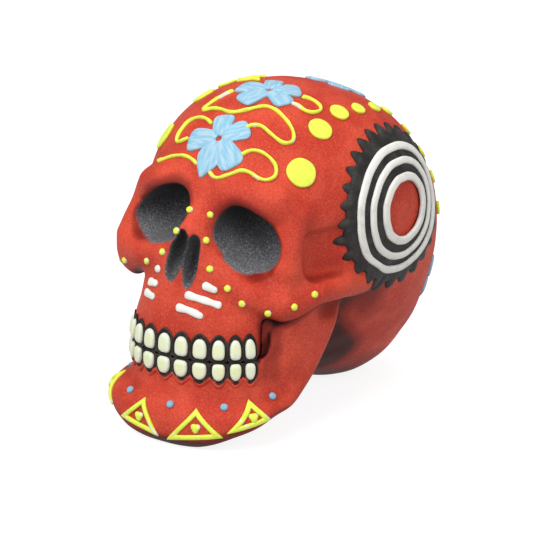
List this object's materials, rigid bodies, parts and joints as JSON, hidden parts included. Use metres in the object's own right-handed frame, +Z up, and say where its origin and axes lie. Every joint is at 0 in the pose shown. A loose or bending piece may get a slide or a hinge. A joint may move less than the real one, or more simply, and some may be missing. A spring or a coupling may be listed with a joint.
{
  "type": "sugar skull ornament",
  "caption": "Free-standing painted skull ornament for the Day of the Dead, with raised flowers, scrolls, discs, ring rosettes on the temples and a bonded lower jaw with two bands of teeth.",
  "frame": {"origin": "on the table, under the middle of the skull's outer box", "axes": "+Z up, face towards -Y; right and left in node names are as seen from the front, so +X is right"},
  "size_m": [0.1181, 0.1675, 0.1354],
  "materials": {
    "red_paint": "matte, grainy, red-orange paint on cast resin, darker in the recesses",
    "tooth_paint": "satin pale cream paint, outlined in black",
    "black_paint": "matte charcoal paint",
    "white_paint": "matte off-white paint",
    "yellow_paint": "satin lemon yellow paint",
    "blue_paint": "matte light blue paint, streaked with white"
  },
  "bodies": {
    "root": {"cranium": "red_paint", "mandible": "red_paint", "upper_teeth": "tooth_paint", "lower_teeth": "tooth_paint", "right_rosette_plate": "black_paint", "right_rosette_ring_outer": "white_paint", "right_rosette_ring_middle": "white_paint", "right_rosette_ring_inner": "white_paint", "left_rosette_plate": "black_paint", "left_rosette_ring_outer": "white_paint", "left_rosette_ring_middle": "white_paint", "left_rosette_ring_inner": "white_paint", "right_disc_1": "yellow_paint", "right_disc_2": "yellow_paint", "right_disc_3": "yellow_paint", "right_disc_4": "yellow_paint", "right_disc_5": "yellow_paint", "right_disc_6": "yellow_paint", "right_disc_7": "yellow_paint", "right_disc_8": "yellow_paint", "right_disc_9": "yellow_paint", "right_disc_10": "yellow_paint", "left_disc_1": "yellow_paint", "left_disc_2": "yellow_paint", "left_disc_3": "yellow_paint", "left_disc_4": "yellow_paint", "left_disc_5": "yellow_paint", "left_disc_6": "yellow_paint", "left_disc_7": "yellow_paint", "left_disc_8": "yellow_paint", "left_disc_9": "yellow_paint", "left_disc_10": "yellow_paint", "flower_forehead": "blue_paint", "flower_top": "blue_paint", "flower_crown": "blue_paint", "flower_back": "blue_paint", "flower_right_nape": "blue_paint", "flower_left_nape": "blue_paint", "scroll_over_brow": "yellow_paint", "scroll_left_loop": "yellow_paint", "scroll_left_tail": "yellow_paint", "scroll_right_loop": "yellow_paint", "scroll_right_crown": "yellow_paint", "scroll_left_crown": "yellow_paint", "dash_right_upper": "white_paint", "dash_right_middle": "white_paint", "dash_right_lower": "white_paint", "dash_left_upper": "white_paint", "dash_left_middle": "white_paint", "dash_left_lower": "white_paint", "chin_triangle_right_inner": "yellow_paint", "chin_triangle_right_outer": "yellow_paint", "chin_triangle_left_inner": "yellow_paint", "chin_triangle_left_outer": "yellow_paint", "chin_dot_middle": "blue_paint", "chin_dot_right_near": "blue_paint", "chin_dot_left_near": "blue_paint", "chin_dot_right_far": "blue_paint", "chin_dot_left_far": "blue_paint"}
  },
  "joints": []
}
